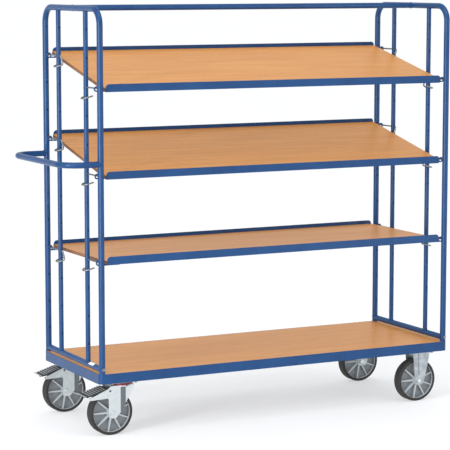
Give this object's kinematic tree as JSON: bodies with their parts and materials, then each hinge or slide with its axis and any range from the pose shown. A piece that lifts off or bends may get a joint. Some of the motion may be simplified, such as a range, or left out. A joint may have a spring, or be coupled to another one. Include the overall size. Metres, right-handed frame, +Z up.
{
  "type": "shelved platform trolley",
  "caption": "Tall platform trolley: tube end frames with hole grids, shelves hung on wire pins, side push handle, braked swivel castors at the handle end, fixed castors at the other.",
  "frame": {"origin": "middle of the bounding box on the floor, with the wheels standing on it", "axes": "+X along the truck away from the handle, -Y towards the side the shelves slope down to, +Z up"},
  "size_m": [1.9497, 0.6536, 1.8655],
  "materials": {
    "blue_paint": "semi-gloss",
    "beech_laminate": "semi-gloss",
    "zinc_wire": "satin",
    "zinc_plate": "satin",
    "tyre": "matte",
    "grey_plastic": "matte",
    "black_plastic": "matte",
    "red_plastic": "matte"
  },
  "bodies": {
    "truck": {"base_frame": "blue_paint", "base_board": "beech_laminate", "bow_left": "blue_paint", "bow_right": "blue_paint", "crossbar_left": "blue_paint", "crossbar_right": "blue_paint", "inner_upright_left_front": "blue_paint", "inner_upright_left_rear": "blue_paint", "inner_upright_right_front": "blue_paint", "inner_upright_right_rear": "blue_paint", "top_tube": "blue_paint", "handle": "blue_paint", "level_shelf_board": "beech_laminate", "level_shelf_rail_front": "blue_paint", "level_shelf_rail_rear": "blue_paint", "middle_shelf_board": "beech_laminate", "middle_shelf_rail_front": "blue_paint", "middle_shelf_rail_rear": "blue_paint", "top_shelf_board": "beech_laminate", "top_shelf_rail_front": "blue_paint", "top_shelf_rail_rear": "blue_paint", "swivel_plate_front": "zinc_plate", "swivel_plate_rear": "zinc_plate", "fixed_bracket_front": "zinc_plate", "fixed_axle_front": "zinc_plate", "fixed_bracket_rear": "zinc_plate", "fixed_axle_rear": "zinc_plate", "caster_bolts": "zinc_plate", "foot_bolts": "zinc_plate"},
    "swivel_front": {"swivel_fork_front": "zinc_plate", "swivel_ring_front": "red_plastic", "swivel_axle_front": "zinc_plate"},
    "swivel_wheel_front": {"swivel_rim_front": "grey_plastic", "swivel_tyre_front": "tyre"},
    "pedal_front": {"swivel_pedal_front": "black_plastic"},
    "fixed_wheel_front": {"fixed_rim_front": "grey_plastic", "fixed_tyre_front": "tyre"},
    "swivel_rear": {"swivel_fork_rear": "zinc_plate", "swivel_ring_rear": "red_plastic", "swivel_axle_rear": "zinc_plate"},
    "swivel_wheel_rear": {"swivel_rim_rear": "grey_plastic", "swivel_tyre_rear": "tyre"},
    "pedal_rear": {"swivel_pedal_rear": "black_plastic"},
    "fixed_wheel_rear": {"fixed_rim_rear": "grey_plastic", "fixed_tyre_rear": "tyre"},
    "level_pin_left_front": {"level_pin_left_front": "zinc_wire"},
    "level_pin_left_rear": {"level_pin_left_rear": "zinc_wire"},
    "level_pin_right_front": {"level_pin_right_front": "zinc_wire"},
    "level_pin_right_rear": {"level_pin_right_rear": "zinc_wire"},
    "middle_pin_left_front": {"middle_pin_left_front": "zinc_wire"},
    "middle_pin_left_rear": {"middle_pin_left_rear": "zinc_wire"},
    "middle_pin_right_front": {"middle_pin_right_front": "zinc_wire"},
    "middle_pin_right_rear": {"middle_pin_right_rear": "zinc_wire"},
    "top_pin_left_front": {"top_pin_left_front": "zinc_wire"},
    "top_pin_left_rear": {"top_pin_left_rear": "zinc_wire"},
    "top_pin_right_front": {"top_pin_right_front": "zinc_wire"},
    "top_pin_right_rear": {"top_pin_right_rear": "zinc_wire"}
  },
  "joints": [
    {"name": "swivel_turn_front", "type": "hinge", "parent": "truck", "child": "swivel_front", "pos_m": [-0.6844, -0.2615, 0.236], "axis": [0, 0, 1], "continuous": true},
    {"name": "swivel_wheel_spin_front", "type": "hinge", "parent": "swivel_front", "child": "swivel_wheel_front", "pos_m": [-0.7394, -0.2615, 0.1], "axis": [0, 1, 0], "continuous": true},
    {"name": "brake_pedal_front", "type": "hinge", "parent": "swivel_front", "child": "pedal_front", "pos_m": [-0.7514, -0.2615, 0.199], "axis": [0, -1, 0], "range_deg": [0, 5]},
    {"name": "fixed_wheel_spin_front", "type": "hinge", "parent": "truck", "child": "fixed_wheel_front", "pos_m": [0.8296, -0.2615, 0.1], "axis": [0, 1, 0], "continuous": true},
    {"name": "swivel_turn_rear", "type": "hinge", "parent": "truck", "child": "swivel_rear", "pos_m": [-0.6844, 0.2615, 0.236], "axis": [0, 0, 1], "continuous": true},
    {"name": "swivel_wheel_spin_rear", "type": "hinge", "parent": "swivel_rear", "child": "swivel_wheel_rear", "pos_m": [-0.7394, 0.2615, 0.1], "axis": [0, 1, 0], "continuous": true},
    {"name": "brake_pedal_rear", "type": "hinge", "parent": "swivel_rear", "child": "pedal_rear", "pos_m": [-0.7514, 0.2615, 0.199], "axis": [0, -1, 0], "range_deg": [0, 5]},
    {"name": "fixed_wheel_spin_rear", "type": "hinge", "parent": "truck", "child": "fixed_wheel_rear", "pos_m": [0.8296, 0.2615, 0.1], "axis": [0, 1, 0], "continuous": true},
    {"name": "level_pin_left_front_swing", "type": "hinge", "parent": "truck", "child": "level_pin_left_front", "pos_m": [-0.7934, -0.154, 0.764], "axis": [0, 1, 0], "range_deg": [0, 100]},
    {"name": "level_pin_left_rear_swing", "type": "hinge", "parent": "truck", "child": "level_pin_left_rear", "pos_m": [-0.7934, 0.154, 0.764], "axis": [0, 1, 0], "range_deg": [0, 100]},
    {"name": "level_pin_right_front_swing", "type": "hinge", "parent": "truck", "child": "level_pin_right_front", "pos_m": [0.9546, -0.154, 0.764], "axis": [0, -1, 0], "range_deg": [0, 100]},
    {"name": "level_pin_right_rear_swing", "type": "hinge", "parent": "truck", "child": "level_pin_right_rear", "pos_m": [0.9546, 0.154, 0.764], "axis": [0, -1, 0], "range_deg": [0, 100]},
    {"name": "middle_pin_left_front_swing", "type": "hinge", "parent": "truck", "child": "middle_pin_left_front", "pos_m": [-0.7934, -0.154, 1.139], "axis": [0, 1, 0], "range_deg": [0, 100]},
    {"name": "middle_pin_left_rear_swing", "type": "hinge", "parent": "truck", "child": "middle_pin_left_rear", "pos_m": [-0.7934, 0.154, 1.264], "axis": [0, 1, 0], "range_deg": [0, 100]},
    {"name": "middle_pin_right_front_swing", "type": "hinge", "parent": "truck", "child": "middle_pin_right_front", "pos_m": [0.9546, -0.154, 1.139], "axis": [0, -1, 0], "range_deg": [0, 100]},
    {"name": "middle_pin_right_rear_swing", "type": "hinge", "parent": "truck", "child": "middle_pin_right_rear", "pos_m": [0.9546, 0.154, 1.264], "axis": [0, -1, 0], "range_deg": [0, 100]},
    {"name": "top_pin_left_front_swing", "type": "hinge", "parent": "truck", "child": "top_pin_left_front", "pos_m": [-0.7934, -0.154, 1.514], "axis": [0, 1, 0], "range_deg": [0, 100]},
    {"name": "top_pin_left_rear_swing", "type": "hinge", "parent": "truck", "child": "top_pin_left_rear", "pos_m": [-0.7934, 0.154, 1.639], "axis": [0, 1, 0], "range_deg": [0, 100]},
    {"name": "top_pin_right_front_swing", "type": "hinge", "parent": "truck", "child": "top_pin_right_front", "pos_m": [0.9546, -0.154, 1.514], "axis": [0, -1, 0], "range_deg": [0, 100]},
    {"name": "top_pin_right_rear_swing", "type": "hinge", "parent": "truck", "child": "top_pin_right_rear", "pos_m": [0.9546, 0.154, 1.639], "axis": [0, -1, 0], "range_deg": [0, 100]}
  ]
}
